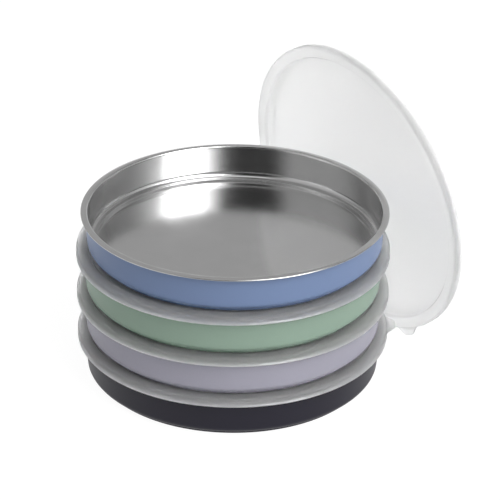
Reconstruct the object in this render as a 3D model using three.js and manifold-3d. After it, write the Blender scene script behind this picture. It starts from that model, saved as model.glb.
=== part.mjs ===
// A stack of four round shallow steel trays with soft lids, the lid of the top tray leaning on the stack.
// Millimetres, +Z up. The origin is the centre of the bottom tray's foot, on the table.
//
// Each tray is pressed from one sheet: a flat floor, a step up to a narrow ledge, an upright wall and a rim
// folded under itself. Its colour is a coat on the outside, so it isn't a piece of its own.
// Each lid is one soft moulding: a panel with a thick round edge that sits on the rim, a short skirt round the
// rim, a plug ring just inside the wall and a pull tab. The next tray's foot stands in the panel's recess.

import * as THREE from "three";
import { mergeVertices } from "three/addons/utils/BufferGeometryUtils.js";
import Module from "manifold-3d";

const wasm = await Module();
wasm.setup();

// ---- driving dimensions ----
const SEGMENTS = 48; // facets round every turned piece, aligned on all of them
const GAP = 0.3; // left between pieces that rest on each other

const SHEET = 0.8;
const TRAY_HEIGHT = 26.1;
const RIM_RADIUS = 100.6;
const RIM_THICKNESS = 1.3; // the sheet and its fold
const RIM_INNER_ROUND = 1.2;
const WALL_RADIUS = 96.6; // outside
const WALL_CORNER = 4.3; // outside corner between wall and ledge
const LEDGE_HEIGHT = 2.6; // its underside, above the foot
const STEP_RADIUS = 92.3; // where the ledge turns down to the foot, outside
const FOOT_RADIUS = 91.8;
const FOOT_BEVEL = 0.7;

const PITCH = 29.45; // from one tray's foot to the next one's
const LID_RADIUS = 102.7;
const LID_EDGE_ROUND = 2;
const LID_LAND = 1.75; // the lid's edge stands this far above its panel, round the next tray's foot
const RECESS_RADIUS = 94;
const LAND_RADIUS = 95.3;
const PANEL_THICKNESS = 2.2;
const SKIRT_DEPTH = 0.9; // below the top of the tray's rim
const SKIRT_THICKNESS = 1.6;
const PLUG_RADIUS = 94.8;
const PLUG_THICKNESS = 2.4;
const PLUG_DEPTH = 2.4; // below the top of the tray's rim
const LID_CHAMFER = 0.5;

const TAB_REACH = 5.5; // beyond the lid's edge
const TAB_ROOT_WIDTH = 24;
const TAB_TIP_WIDTH = 15;
const TAB_CORNER = 2.5;
const TAB_THICKNESS = 2.4;
const TAB_LOW = 0.4; // its underside, above the top of the tray's rim

const TOP_TRAY_SHIFT = [1.1, 1.5]; // the top tray stands a little off the stack's axis
const LEAN = 8.6; // degrees from upright
const LEAN_BEARING = 37.7; // degrees from +X to where the leaning lid stands
const LEAN_SIDEWAYS = 3.8; // along the lid's face, to the right as seen from the stack
const LEAN_BOW = 6.6; // the soft lid bows as it leans: its edge stands this far ahead of its middle
const LEAN_GAP = 2.2; // kept between the bowed panel and the rim, so that the tray can lift past it
const LEANING_TAB = -66; // degrees round the lid, where -90 is its lowest point

// From the bottom up: each tray's colour, and where round the stack the tab of its lid points.
const TRAYS = [
  { name: "navy", colour: 0x33313d, tab: 2 },
  { name: "lilac", colour: 0x9896a6, tab: 112 },
  { name: "green", colour: 0x86a08c, tab: 84 },
  { name: "blue", colour: 0x6d82b4, tab: LEANING_TAB },
];

const radians = THREE.MathUtils.degToRad;

// ---- helpers ----
// Points of an arc round (r, z) from one angle to another, in degrees, ends included.
function arc(r, z, radius, from, to, steps) {
  const points = [];
  for (let i = 0; i <= steps; i++) {
    const angle = radians(from + ((to - from) * i) / steps);
    points.push([r + radius * Math.cos(angle), z + radius * Math.sin(angle)]);
  }
  return points;
}

// A solid of revolution about Z, from [radius, height] points that start and end on the axis.
function turned(points) {
  const profile = points.map(([r, z]) => new THREE.Vector2(r, z));
  return new THREE.LatheGeometry(profile, SEGMENTS).rotateX(Math.PI / 2);
}

function solidOf(geometry) {
  const bare = geometry.clone();
  bare.deleteAttribute("normal");
  bare.deleteAttribute("uv");
  const merged = mergeVertices(bare, 1e-3);
  const vertProperties = merged.attributes.position.array;
  const triVerts = new Uint32Array(merged.index.array);
  return new wasm.Manifold(new wasm.Mesh({ numProp: 3, vertProperties, triVerts }));
}

function geometryOf(solid) {
  const mesh = solid.getMesh();
  const geometry = new THREE.BufferGeometry();
  geometry.setAttribute("position", new THREE.BufferAttribute(mesh.vertProperties, 3));
  geometry.setIndex(new THREE.BufferAttribute(mesh.triVerts, 1));
  geometry.computeVertexNormals();
  return geometry;
}

// ---- the tray: foot at z = 0, top of the rim at z = TRAY_HEIGHT ----
function trayGeometry() {
  const rimUnder = TRAY_HEIGHT - RIM_THICKNESS;
  const rimRound = RIM_THICKNESS / 2;
  const wallInside = WALL_RADIUS - SHEET;
  const neck = wallInside + RIM_INNER_ROUND;
  const cornerRadius = WALL_RADIUS - WALL_CORNER;
  const cornerHeight = LEDGE_HEIGHT + WALL_CORNER;
  return turned([
    [0, 0],
    [FOOT_RADIUS - FOOT_BEVEL, 0],
    [FOOT_RADIUS, FOOT_BEVEL],
    [STEP_RADIUS, LEDGE_HEIGHT],
    ...arc(cornerRadius, cornerHeight, WALL_CORNER, -90, 0, 3).slice(1),
    [WALL_RADIUS, rimUnder],
    [RIM_RADIUS - rimRound, rimUnder],
    [RIM_RADIUS, rimUnder + rimRound],
    [RIM_RADIUS - rimRound, TRAY_HEIGHT],
    ...arc(neck, TRAY_HEIGHT - RIM_INNER_ROUND, RIM_INNER_ROUND, 90, 180, 2),
    ...arc(cornerRadius, cornerHeight, WALL_CORNER - SHEET, 0, -90, 3),
    [STEP_RADIUS - SHEET, LEDGE_HEIGHT + SHEET],
    [FOOT_RADIUS - SHEET, SHEET],
    [0, SHEET],
  ]);
}

// ---- the lid: z = 0 is the top of its tray's rim ----
const panelTop = PITCH - TRAY_HEIGHT - GAP;
const landTop = panelTop + LID_LAND;

// The tab's outline, pointing along +X, wide at its root and round at its tip.
function tabOutline() {
  const root = LID_RADIUS - LID_EDGE_ROUND;
  const tip = LID_RADIUS + TAB_REACH;
  const side = TAB_TIP_WIDTH / 2;
  const shape = new THREE.Shape();
  shape.moveTo(root, -TAB_ROOT_WIDTH / 2);
  shape.quadraticCurveTo(LID_RADIUS + 1, -side - 1, tip - TAB_CORNER, -side);
  shape.quadraticCurveTo(tip, -side, tip, -side + TAB_CORNER);
  shape.lineTo(tip, side - TAB_CORNER);
  shape.quadraticCurveTo(tip, side, tip - TAB_CORNER, side);
  shape.quadraticCurveTo(LID_RADIUS + 1, side + 1, root, TAB_ROOT_WIDTH / 2);
  return shape;
}

// A bowed lid is dished: its height grows with the square of the radius, by bow at its edge.
function lidGeometry(tabAngle, bow = 0) {
  const rings = bow ? [25, 50, 75] : [];
  const raise = (r) => bow * (r / LID_RADIUS) ** 2;
  const underPanel = panelTop - PANEL_THICKNESS;
  const plugInside = PLUG_RADIUS - PLUG_THICKNESS;
  const skirtInside = LID_RADIUS - SKIRT_THICKNESS;
  const body = turned([
    [0, underPanel],
    ...rings.map((r) => [r, underPanel]),
    [plugInside, underPanel],
    [plugInside, -PLUG_DEPTH],
    [PLUG_RADIUS - LID_CHAMFER, -PLUG_DEPTH],
    [PLUG_RADIUS, LID_CHAMFER - PLUG_DEPTH],
    [PLUG_RADIUS, GAP],
    [skirtInside, GAP],
    [skirtInside, -SKIRT_DEPTH],
    [LID_RADIUS - LID_CHAMFER, -SKIRT_DEPTH],
    [LID_RADIUS, LID_CHAMFER - SKIRT_DEPTH],
    ...arc(LID_RADIUS - LID_EDGE_ROUND, landTop - LID_EDGE_ROUND, LID_EDGE_ROUND, 0, 90, 3),
    [LAND_RADIUS, landTop],
    [RECESS_RADIUS, panelTop],
    ...rings.toReversed().map((r) => [r, panelTop]),
    [0, panelTop],
  ].map(([r, z]) => [r, z + raise(r)]));
  const tab = new THREE.ExtrudeGeometry(tabOutline(), {
    depth: TAB_THICKNESS,
    curveSegments: 3,
    bevelEnabled: false,
  });
  tab.translate(0, 0, TAB_LOW);
  const corners = tab.attributes.position;
  for (let i = 0; i < corners.count; i++) {
    const r = Math.hypot(corners.getX(i), corners.getY(i));
    corners.setZ(i, corners.getZ(i) + raise(r));
  }
  tab.rotateZ(radians(tabAngle));
  return geometryOf(solidOf(body).add(solidOf(tab)));
}

// ---- the object ----
const object = new THREE.Group();

function coated(color) {
  return new THREE.MeshStandardMaterial({ color, roughness: 0.5, metalness: 0.1 });
}

function softPlastic() {
  return new THREE.MeshStandardMaterial({ color: 0xe4e6e6, roughness: 0.5, metalness: 0 });
}

function place(name, geometry, material, x, y, z) {
  const mesh = new THREE.Mesh(geometry, material);
  mesh.name = name;
  mesh.position.set(x, y, z);
  object.add(mesh);
  return mesh;
}

TRAYS.forEach(({ name, colour, tab }, level) => {
  const isTop = level === TRAYS.length - 1;
  const [x, y] = isTop ? TOP_TRAY_SHIFT : [0, 0];
  const foot = level * PITCH;
  place(`${name}_tray`, trayGeometry(), coated(colour), x, y, foot);
  if (!isTop) place(`${name}_lid`, lidGeometry(tab), softPlastic(), x, y, foot + TRAY_HEIGHT);
});

// The top tray's lid stands on the table, its panel against that tray's rim.
const outward = new THREE.Vector3(Math.cos(radians(LEAN_BEARING)), Math.sin(radians(LEAN_BEARING)), 0);
const across = new THREE.Vector3(outward.y, -outward.x, 0);
const upward = new THREE.Vector3(0, 0, Math.cos(radians(LEAN))).addScaledVector(outward, -Math.sin(radians(LEAN)));
const facing = new THREE.Vector3().crossVectors(across, upward);
const leaning = place("blue_lid", lidGeometry(LEANING_TAB, LEAN_BOW), softPlastic(), 0, 0, 0);
leaning.setRotationFromMatrix(new THREE.Matrix4().makeBasis(across, upward, facing));
leaning.updateMatrixWorld(true);
const standing = -new THREE.Box3().setFromObject(leaning, true).min.z;
const rimTop = new THREE.Vector3(...TOP_TRAY_SHIFT, (TRAYS.length - 1) * PITCH + TRAY_HEIGHT);
const depthAlongFacing = rimTop.dot(facing) - RIM_RADIUS * Math.cos(radians(LEAN)) - LEAN_GAP - panelTop;
const away = (standing * facing.z - depthAlongFacing) / Math.cos(radians(LEAN));
leaning.position.copy(outward).multiplyScalar(away);
leaning.position.addScaledVector(across, LEAN_SIDEWAYS);
leaning.position.z = standing;

export default object;
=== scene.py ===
import math

import bmesh
import bpy
from mathutils import Matrix, Vector

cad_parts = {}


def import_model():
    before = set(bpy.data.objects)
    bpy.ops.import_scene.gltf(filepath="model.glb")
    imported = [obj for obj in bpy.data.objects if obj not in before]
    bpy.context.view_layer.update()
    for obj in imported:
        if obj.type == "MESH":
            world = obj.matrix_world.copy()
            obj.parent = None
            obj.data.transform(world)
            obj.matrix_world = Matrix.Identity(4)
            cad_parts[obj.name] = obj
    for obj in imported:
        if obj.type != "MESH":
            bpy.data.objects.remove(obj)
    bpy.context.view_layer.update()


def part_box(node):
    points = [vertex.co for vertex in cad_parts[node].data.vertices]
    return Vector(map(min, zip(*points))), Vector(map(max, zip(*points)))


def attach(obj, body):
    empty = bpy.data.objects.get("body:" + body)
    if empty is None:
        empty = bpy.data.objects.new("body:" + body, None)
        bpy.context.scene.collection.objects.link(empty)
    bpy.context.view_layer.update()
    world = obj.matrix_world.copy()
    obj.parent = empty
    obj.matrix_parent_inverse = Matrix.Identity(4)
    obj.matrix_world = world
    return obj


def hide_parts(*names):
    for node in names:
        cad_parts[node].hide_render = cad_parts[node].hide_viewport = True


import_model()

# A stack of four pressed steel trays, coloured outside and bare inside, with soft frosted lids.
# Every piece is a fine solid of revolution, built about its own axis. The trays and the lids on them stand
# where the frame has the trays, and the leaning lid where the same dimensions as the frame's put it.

MM = 0.001
SEGMENTS = 224  # facets round a tray
LID_SEGMENTS = 480  # more, for the tab

# ---- driving dimensions, in millimetres ----
SHEET = 0.8
COAT = 0.14
TRAY_HEIGHT = 26.1
RIM_RADIUS = 100.6
RIM_THICKNESS = 1.3
RIM_FOLD = 4  # how far the sheet is folded back under the rim
WALL_RADIUS = 96.6
WALL_CORNER = 4.3
LEDGE_HEIGHT = 2.6
STEP_RADIUS = 92.3
FOOT_RADIUS = 91.8
FOOT_CORNER = 0.8
RIM_THROAT = 1.5  # radius of the bend from wall to rim
CORNER = WALL_CORNER - 0.5
HAIR = 0.01  # left between the coat and the steel

GAP = 0.3
PITCH = 29.45
LID_RADIUS = 102.7
LID_EDGE_ROUND = 2
LID_LAND = 1.75
RECESS_RADIUS = 94
LAND_RADIUS = 95.3
PANEL_THICKNESS = 2.2
SKIRT_DEPTH = 0.9
SKIRT_THICKNESS = 1.6
PLUG_RADIUS = 94.8
PLUG_THICKNESS = 2.4
PLUG_DEPTH = 2.4
PANEL_TOP = PITCH - TRAY_HEIGHT - GAP  # above the top of the tray's rim
LAND_TOP = PANEL_TOP + LID_LAND

TAB_REACH = 5.5
TAB_HALF_WIDTH = 7.5
TAB_BLEND = 4.5  # how far along the edge the tab's root flares
TAB_THICKNESS = 2.4
TAB_LOW = 0.4

LEAN = 8.6  # degrees from upright
LEAN_BEARING = 37.7
LEAN_SIDEWAYS = 3.8
LEAN_BOW = 6.6  # the soft lid bows as it leans: its edge stands this far ahead of its middle
LEAN_GAP = 2.2  # between the bowed panel and the rim in front of it
LEANING_TAB = -66

# Studio greys: the plain sky, and glows in it as azimuth (from the front, to the right), elevation,
# the half-angles where they are full and gone, and gain; then the dark strip in front.
SKY_GREY = 0.21
HORIZON = 0.85  # added at the horizon, gone this many degrees above it
HORIZON_REACH = 14
SKY_GLOWS = [(-64, 28, 14, 58, 0.41), (180, 30, 22, 56, 0.26), (42, 40, 6, 32, 4.6)]
STRIP_AZIMUTH = -15
STRIP_HALF_ANGLES = (8, 32)
STRIP_KEEPS = 0.07

# Linear colours of the coats, and where round the stack the tab of each tray's lid points.
TRAYS = {
    "navy": {"coat": (0.007, 0.006, 0.014), "tab": 2},
    "lilac": {"coat": (0.262, 0.256, 0.305), "tab": 112},
    "green": {"coat": (0.198, 0.275, 0.220), "tab": 84},
    "blue": {"coat": (0.128, 0.180, 0.305), "tab": LEANING_TAB},
}


# ---- mesh helpers ----
def rounded(corners, steps=6):
    """Outline points of (radius, height, fillet) corners, each corner turned by its own fillet."""
    points = []
    last = len(corners) - 1
    for i, (r, z, fillet) in enumerate(corners):
        here = Vector((r, z))
        if fillet == 0 or i in (0, last):
            points.append(here)
            continue
        before = (Vector(corners[i - 1][:2]) - here).normalized()
        after = (Vector(corners[i + 1][:2]) - here).normalized()
        half = before.angle(after) / 2
        reach = fillet / math.tan(half)
        start = here + before * reach
        end = here + after * reach
        centre = here + (before + after).normalized() * (fillet / math.sin(half))
        first = start - centre
        turn = first.angle_signed(end - centre)
        points.append(start + before * 0.06)
        for k in range(steps + 1):
            spoke = first.copy()
            spoke.rotate(Matrix.Rotation(-turn * k / steps, 2))
            points.append(centre + spoke)
        points.append(end + after * 0.06)
    return [(p.x, p.y) for p in points]


def turned(name, outline, reach=None, segments=SEGMENTS):
    """A solid of revolution about Z, whose outline runs from axis to axis.
    reach(angle, radius, height) moves a point outward, in millimetres."""
    mesh = bpy.data.meshes.new(name)
    bm = bmesh.new()
    rings = []
    for r, z in outline:
        if r < 1e-6:
            rings.append([bm.verts.new((0, 0, z * MM))])
            continue
        ring = []
        for k in range(segments):
            angle = 2 * math.pi * k / segments
            radius = r + (reach(angle, r, z) if reach else 0)
            ring.append(bm.verts.new((radius * math.cos(angle) * MM, radius * math.sin(angle) * MM, z * MM)))
        rings.append(ring)
    for low, high in zip(rings, rings[1:]):
        for k in range(segments):
            n = (k + 1) % segments
            if len(low) == 1:
                bm.faces.new((low[0], high[n], high[k]))
            elif len(high) == 1:
                bm.faces.new((low[k], low[n], high[0]))
            else:
                bm.faces.new((low[k], low[n], high[n], high[k]))
    bmesh.ops.recalc_face_normals(bm, faces=bm.faces)
    for face in bm.faces:
        face.smooth = True
    bm.to_mesh(mesh)
    bm.free()
    piece = bpy.data.objects.new(name, mesh)
    bpy.context.scene.collection.objects.link(piece)
    return piece


# ---- outlines ----
def pan_outline():
    """The bare steel: underside first, from the axis out, round the rim and back over the inside."""
    wall = WALL_RADIUS - COAT
    inside = wall - SHEET + COAT
    under = TRAY_HEIGHT - RIM_THICKNESS
    fold = RIM_RADIUS - RIM_FOLD
    return rounded([
        (0, COAT, 0),
        (FOOT_RADIUS - COAT, COAT, FOOT_CORNER - COAT),
        (STEP_RADIUS - COAT, LEDGE_HEIGHT + COAT, 0.3),
        (wall, LEDGE_HEIGHT + COAT, CORNER - COAT - HAIR),
        (wall, under + 0.1, 0.3),
        (fold + 1.1, under + 0.1, 0.2),
        (RIM_RADIUS - 1.2, under, 0.5),
        (RIM_RADIUS, under + 0.1, 0.38),
        (RIM_RADIUS, TRAY_HEIGHT - 0.42, 0.55),
        (RIM_RADIUS - 2.0, TRAY_HEIGHT, 1.6),
        (inside, TRAY_HEIGHT, RIM_THROAT),
        (inside, LEDGE_HEIGHT + SHEET, CORNER - 0.1),
        (STEP_RADIUS - SHEET - 0.2, LEDGE_HEIGHT + SHEET, 0.3),
        (FOOT_RADIUS - SHEET - 0.2, SHEET, 0.3),
        (0, SHEET, 0),
    ])


def coat_outline():
    """The colour: a thin skin from the middle of the foot up the wall to just under the rim."""
    under = TRAY_HEIGHT - RIM_THICKNESS - 0.05
    wall = WALL_RADIUS - COAT + HAIR
    step = LEDGE_HEIGHT + COAT - HAIR
    return rounded([
        (0, 0, 0),
        (FOOT_RADIUS, 0, FOOT_CORNER),
        (STEP_RADIUS, LEDGE_HEIGHT, 0.3),
        (WALL_RADIUS, LEDGE_HEIGHT, CORNER),
        (WALL_RADIUS, under, 0.05),
        (wall, under, 0.03),
        (wall, step, CORNER - COAT),
        (STEP_RADIUS - COAT + HAIR, step, 0.3),
        (FOOT_RADIUS - COAT + HAIR, COAT - HAIR, FOOT_CORNER - COAT),
        (0, COAT - HAIR, 0),
    ])


def lid_outline():
    """The soft moulding, from the axis on its underside out over the plug and skirt and back over the top."""
    under = PANEL_TOP - PANEL_THICKNESS
    plug_inside = PLUG_RADIUS - PLUG_THICKNESS
    skirt_inside = LID_RADIUS - SKIRT_THICKNESS
    rings = range(10, 90, 10)  # kept in the flat panel so that it can bow
    return rounded([
        (0, under, 0),
        *((r, under, 0) for r in rings),
        (plug_inside, under, 0.9),
        (plug_inside, -PLUG_DEPTH, 0.5),
        (PLUG_RADIUS - 0.6, -PLUG_DEPTH, 0.5),
        (PLUG_RADIUS, -0.9, 0.35),
        (PLUG_RADIUS, -0.4, 0.2),
        (PLUG_RADIUS - 0.7, GAP, 0.25),
        (skirt_inside, GAP, 0.4),
        (skirt_inside, -SKIRT_DEPTH, 0.4),
        (LID_RADIUS, -SKIRT_DEPTH, 0.5),
        (LID_RADIUS, LAND_TOP, LID_EDGE_ROUND),
        (LAND_RADIUS, LAND_TOP, 0.8),
        (RECESS_RADIUS, PANEL_TOP, 0.6),
        *((r, PANEL_TOP, 0) for r in reversed(rings)),
        (0, PANEL_TOP, 0),
    ])


# ---- pieces ----
def tab_reach(tab_angle):
    """How far the lid's edge is drawn out into the pull tab, at each point of its outline."""
    half = TAB_HALF_WIDTH / LID_RADIUS
    flare = TAB_BLEND / LID_RADIUS
    middle = TAB_LOW + TAB_THICKNESS / 2

    def reach(angle, radius, height):
        if radius < LID_RADIUS - LID_EDGE_ROUND:
            return 0
        off = abs((angle - math.radians(tab_angle) + math.pi) % (2 * math.pi) - math.pi)
        along = min(max((half + flare - off) / (2 * flare), 0), 1)
        along = along * along * (3 - 2 * along)
        above = abs(height - middle) / (TAB_THICKNESS / 2)
        across = math.sqrt(max(1 - above**4, 0))
        return TAB_REACH * along * across

    return reach


def make_lid(name, tab_angle):
    return turned(name, dense_edge(lid_outline()), tab_reach(tab_angle), LID_SEGMENTS)


def dense_edge(outline):
    """Adds points up the lid's outer face, so that the tab grows out of it smoothly."""
    out = []
    for (r0, z0), (r1, z1) in zip(outline, outline[1:]):
        out.append((r0, z0))
        on_face = r0 > LID_RADIUS - 0.01 and r1 > LID_RADIUS - 0.01
        steps = 14 if on_face and abs(z1 - z0) > 0.5 else 1
        out += [(r0 + (r1 - r0) * k / steps, z0 + (z1 - z0) * k / steps) for k in range(1, steps)]
    return out + [outline[-1]]


# ---- materials ----
class Nodes:
    """A material with a Principled shader, and short ways to add and join nodes."""

    def __init__(self, name):
        self.material = bpy.data.materials.new(name)
        self.material.use_nodes = True
        self.tree = self.material.node_tree
        self.shader = self.tree.nodes["Principled BSDF"]

    def add(self, kind, **settings):
        node = self.tree.nodes.new(kind)
        for key, value in settings.items():
            setattr(node, key, value)
        return node

    def join(self, source, target):
        self.tree.links.new(source, target)

    def math(self, operation, a, b=0.0):
        node = self.add("ShaderNodeMath", operation=operation)
        for socket, value in zip(node.inputs, (a, b)):
            if isinstance(value, (int, float)):
                socket.default_value = value
            else:
                self.join(value, socket)
        return node.outputs[0]

    def noise(self, vector, scale, detail=2.0, roughness=0.5):
        node = self.add("ShaderNodeTexNoise")
        node.inputs["Scale"].default_value = scale
        node.inputs["Detail"].default_value = detail
        node.inputs["Roughness"].default_value = roughness
        self.join(vector, node.inputs["Vector"])
        return node.outputs["Fac"]

    def spread(self, value, low, high):
        """Maps 0..1 to low..high."""
        node = self.add("ShaderNodeMapRange")
        node.inputs["To Min"].default_value = low
        node.inputs["To Max"].default_value = high
        self.join(value, node.inputs["Value"])
        return node.outputs["Result"]

    def place(self):
        return self.add("ShaderNodeTexCoord").outputs["Object"]

    def polar(self, along, across):
        """Coordinates that change slowly round the piece and fast across it, for turned and brushed marks."""
        split = self.add("ShaderNodeSeparateXYZ")
        self.join(self.place(), split.inputs[0])
        x, y, z = split.outputs
        squares = self.math("ADD", self.math("MULTIPLY", x, x), self.math("MULTIPLY", y, y))
        radius = self.math("ADD", self.math("SQRT", squares), 1e-5)
        join = self.add("ShaderNodeCombineXYZ")
        self.join(self.math("MULTIPLY", self.math("DIVIDE", x, radius), along), join.inputs[0])
        self.join(self.math("MULTIPLY", self.math("DIVIDE", y, radius), along), join.inputs[1])
        self.join(self.math("MULTIPLY", self.math("ADD", radius, z), across), join.inputs[2])
        return join.outputs[0]

    def bump(self, height, distance, strength=1.0):
        node = self.add("ShaderNodeBump")
        node.inputs["Distance"].default_value = distance
        node.inputs["Strength"].default_value = strength
        self.join(height, node.inputs["Height"])
        self.join(node.outputs["Normal"], self.shader.inputs["Normal"])


def steel_material():
    m = Nodes("satin_steel")
    m.shader.inputs["Metallic"].default_value = 1.0
    brushed = m.noise(m.polar(2.5, 5200), 1.0, 3.0, 0.6)
    mottled = m.noise(m.place(), 55, 4.0, 0.6)
    tone = m.math("ADD", m.math("MULTIPLY", brushed, 0.5), m.math("MULTIPLY", mottled, 0.5))
    colour = m.add("ShaderNodeMix", data_type="RGBA")
    colour.inputs[6].default_value = (0.54, 0.54, 0.54, 1)
    colour.inputs[7].default_value = (0.66, 0.66, 0.66, 1)
    m.join(tone, colour.inputs[0])
    m.join(colour.outputs[2], m.shader.inputs["Base Color"])
    m.join(m.spread(tone, 0.11, 0.25), m.shader.inputs["Roughness"])
    m.bump(brushed, 0.000004)
    return m.material


def coat_material(name, colour):
    m = Nodes(name)
    speckle = m.noise(m.place(), 2600, 2.0, 0.6)
    cloud = m.noise(m.place(), 30, 3.0, 0.5)
    tone = m.math("ADD", m.math("MULTIPLY", speckle, 0.6), m.math("MULTIPLY", cloud, 0.4))
    mix = m.add("ShaderNodeMix", data_type="RGBA")
    mix.inputs[6].default_value = tuple(c * 0.86 for c in colour) + (1,)
    mix.inputs[7].default_value = tuple(c * 1.14 for c in colour) + (1,)
    m.join(tone, mix.inputs[0])
    m.join(mix.outputs[2], m.shader.inputs["Base Color"])
    m.join(m.spread(speckle, 0.36, 0.50), m.shader.inputs["Roughness"])
    m.shader.inputs["Specular IOR Level"].default_value = 0.28
    peel = m.noise(m.place(), 1100, 2.0, 0.5)
    m.bump(peel, 0.00001)
    return m.material


def lid_material():
    m = Nodes("frosted_plastic")
    cloud = m.noise(m.place(), 22, 3.0, 0.5)
    mix = m.add("ShaderNodeMix", data_type="RGBA")
    mix.inputs[6].default_value = (0.97, 0.972, 0.972, 1)
    mix.inputs[7].default_value = (1, 1, 1, 1)
    m.join(cloud, mix.inputs[0])
    m.join(mix.outputs[2], m.shader.inputs["Base Color"])
    grain = m.noise(m.place(), 1800, 2.0, 0.6)
    m.join(m.spread(grain, 0.50, 0.62), m.shader.inputs["Roughness"])
    m.shader.inputs["IOR"].default_value = 1.32
    m.shader.inputs["Transmission Weight"].default_value = 0.9
    m.shader.inputs["Subsurface Weight"].default_value = 1.0
    m.shader.inputs["Subsurface Radius"].default_value = (1, 1, 1)
    m.shader.inputs["Subsurface Scale"].default_value = 0.003
    m.bump(grain, 0.000012)
    return m.material


# ---- the stack ----
def tray_place(tray):
    low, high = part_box(tray)
    return Vector(((low.x + high.x) / 2, (low.y + high.y) / 2, low.z))


def build_tray(colour, steel, coat):
    tray = f"{colour}_tray"
    pan = turned(f"{colour}_tray_steel", pan_outline())
    skin = turned(f"{colour}_tray_coat", coat_outline())
    pan.data.materials.append(steel)
    skin.data.materials.append(coat)
    for piece, slot in ((pan, "steel"), (skin, f"{colour}_coat")):
        piece.location = tray_place(tray)
        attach(piece, tray)
        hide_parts(tray)


def finish_lid(lid, node, plastic):
    lid.data.materials.append(plastic)
    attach(lid, node)
    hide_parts(node)


def build_stack():
    steel = steel_material()
    plastic = lid_material()
    for colour, facts in TRAYS.items():
        build_tray(colour, steel, coat_material(f"{colour}_powder_coat", facts["coat"]))
        if colour == "blue":
            continue
        lid = make_lid(f"{colour}_lid_moulding", facts["tab"])
        lid.location = tray_place(f"{colour}_tray") + Vector((0, 0, TRAY_HEIGHT * MM))
        finish_lid(lid, f"{colour}_lid", plastic)
    lean_lid(plastic)


def lean_lid(plastic):
    """The top tray's lid stands on the table, its panel just behind that tray's rim."""
    lean = math.radians(LEAN)
    bearing = math.radians(LEAN_BEARING)
    outward = Vector((math.cos(bearing), math.sin(bearing), 0))
    across = Vector((outward.y, -outward.x, 0))
    upward = Vector((0, 0, math.cos(lean))) - outward * math.sin(lean)
    facing = across.cross(upward)
    lid = make_lid("blue_lid_moulding", LEANING_TAB)
    for vertex in lid.data.vertices:
        vertex.co.z += LEAN_BOW * MM * vertex.co.xy.length_squared / (LID_RADIUS * MM) ** 2
    turn = Matrix((across, upward, facing)).transposed()
    standing = -min((turn @ v.co).z for v in lid.data.vertices)
    rim_top = tray_place("blue_tray") + Vector((0, 0, TRAY_HEIGHT * MM))
    depth = rim_top.dot(facing) - (RIM_RADIUS * math.cos(lean) + LEAN_GAP + PANEL_TOP) * MM
    away = (standing * facing.z - depth) / math.cos(lean)
    place = outward * away + across * LEAN_SIDEWAYS * MM
    place.z = standing
    lid.data.transform(Matrix.Translation(place) @ turn.to_4x4())
    finish_lid(lid, "blue_lid", plastic)


# ---- studio ----
def towards(azimuth, elevation):
    """The direction of a light seen from the stack, in degrees. Azimuth is from the front, to the right."""
    az = math.radians(azimuth)
    el = math.radians(elevation)
    return math.sin(az) * math.cos(el), -math.cos(az) * math.cos(el), math.sin(el)


def camera():
    elevation = math.radians(27.81)
    distance = 1.7146
    aim = Vector((0, 0, 0.0615))
    pan_angle = -0.0073
    tilt_angle = 0.012
    roll_angle = math.radians(-0.6)
    back = Vector((0, -math.cos(elevation), math.sin(elevation)))
    forward = -back
    right = Vector((1, 0, 0))
    pan = Matrix.Rotation(pan_angle, 3, "Z")
    forward = pan @ forward
    right = pan @ right
    forward = Matrix.Rotation(tilt_angle, 3, right) @ forward
    roll = Matrix.Rotation(roll_angle, 3, forward)
    up = roll @ right.cross(forward)
    right = roll @ right
    data = bpy.data.cameras.new("camera")
    data.sensor_width = 36
    data.lens = 187.2
    data.clip_end = 20
    eye = bpy.data.objects.new("camera", data)
    facing = Matrix((right, up, -forward)).transposed().to_4x4()
    eye.matrix_world = Matrix.Translation(aim + back * distance) @ facing
    bpy.context.scene.collection.objects.link(eye)
    bpy.context.scene.camera = eye


def softbox(name, azimuth, elevation, distance, width, height, radiance):
    """A soft panel that faces the middle of the stack."""
    aim = Vector((0, 0, 0.06))
    direction = Vector(towards(azimuth, elevation))
    data = bpy.data.lights.new(name, "AREA")
    data.shape = "RECTANGLE"
    data.size = width
    data.size_y = height
    data.energy = radiance * math.pi * width * height
    light = bpy.data.objects.new(name, data)
    light.location = aim + direction * distance
    light.rotation_euler = direction.to_track_quat("Z", "Y").to_euler()
    bpy.context.scene.collection.objects.link(light)


def floor():
    mesh = bpy.data.meshes.new("floor")
    size = 6
    corners = [(-size, -size, 0), (size, -size, 0), (size, size, 0), (-size, size, 0)]
    mesh.from_pydata(corners, [], [(0, 1, 2, 3)])
    ground = bpy.data.objects.new("floor", mesh)
    ground.location.z = -0.0005
    bpy.context.scene.collection.objects.link(ground)
    m = Nodes("floor_white")
    m.shader.inputs["Base Color"].default_value = (0.12, 0.12, 0.12, 1)
    m.shader.inputs["Roughness"].default_value = 1.0
    m.shader.inputs["Specular IOR Level"].default_value = 0.0
    m.shader.inputs["Emission Color"].default_value = (1, 1, 1, 1)
    m.shader.inputs["Emission Strength"].default_value = 0.95
    mesh.materials.append(m.material)


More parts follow.
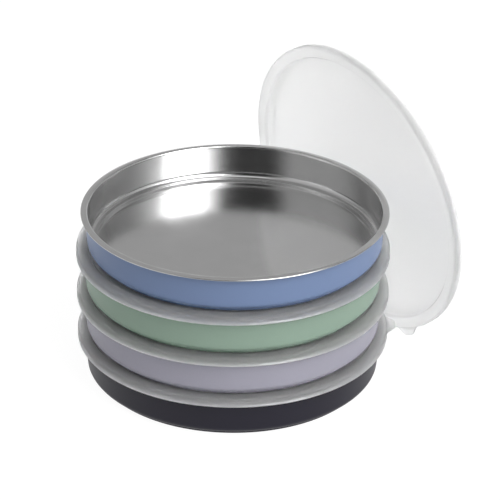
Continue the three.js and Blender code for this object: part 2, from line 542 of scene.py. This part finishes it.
def world():
    """A plain grey studio, bright at the horizon, with soft glows in it and a dark strip in front."""
    sky = bpy.data.worlds.new("studio")
    bpy.context.scene.world = sky
    sky.use_nodes = True
    tree = sky.node_tree
    background = tree.nodes["Background"]
    background.inputs["Color"].default_value = (1, 1, 1, 1)
    where = tree.nodes.new("ShaderNodeTexCoord").outputs["Generated"]

    def vector(operation, a, b=None):
        node = tree.nodes.new("ShaderNodeVectorMath")
        node.operation = operation
        tree.links.new(a, node.inputs[0])
        if b is not None:
            node.inputs[1].default_value = b
        return node

    def remap(value, source, target, smooth=False):
        node = tree.nodes.new("ShaderNodeMapRange")
        if smooth:
            node.interpolation_type = "SMOOTHSTEP"
        for name, number in zip(("From Min", "From Max", "To Min", "To Max"), (*source, *target)):
            node.inputs[name].default_value = number
        tree.links.new(value, node.inputs["Value"])
        return node.outputs["Result"]

    def combine(operation, a, b):
        node = tree.nodes.new("ShaderNodeMath")
        node.operation = operation
        for socket, value in zip(node.inputs, (a, b)):
            if isinstance(value, (int, float)):
                socket.default_value = value
            else:
                tree.links.new(value, socket)
        return node.outputs[0]

    height = tree.nodes.new("ShaderNodeSeparateXYZ")
    tree.links.new(where, height.inputs[0])
    low = (math.sin(math.radians(2)), math.sin(math.radians(HORIZON_REACH)))
    grey = remap(height.outputs[2], low, (SKY_GREY + HORIZON, SKY_GREY), smooth=True)
    for azimuth, elevation, inner, outer, gain in SKY_GLOWS:
        near = vector("DOT_PRODUCT", where, towards(azimuth, elevation)).outputs["Value"]
        reach = (math.cos(math.radians(outer)), math.cos(math.radians(inner)))
        grey = combine("ADD", remap(near, reach, (0, gain), smooth=True), grey)
    level = vector("NORMALIZE", vector("MULTIPLY", where, (1, 1, 0)).outputs["Vector"]).outputs["Vector"]
    ahead = vector("DOT_PRODUCT", level, towards(STRIP_AZIMUTH, 0)).outputs["Value"]
    inner, outer = (math.cos(math.radians(a)) for a in STRIP_HALF_ANGLES)
    kept = remap(ahead, (outer, inner), (1, STRIP_KEEPS), smooth=True)
    tree.links.new(combine("MULTIPLY", grey, kept), background.inputs["Strength"])


def studio():
    bpy.context.scene.view_settings.view_transform = "Standard"
    world()
    floor()
    softbox("top_softbox", 60, 82, 1.8, 1.2, 1.2, 0.7)
    softbox("right_softbox", 42, 40, 1.6, 0.85, 1.6, 2.2)


camera()
studio()
build_stack()
bpy.context.view_layer.update()
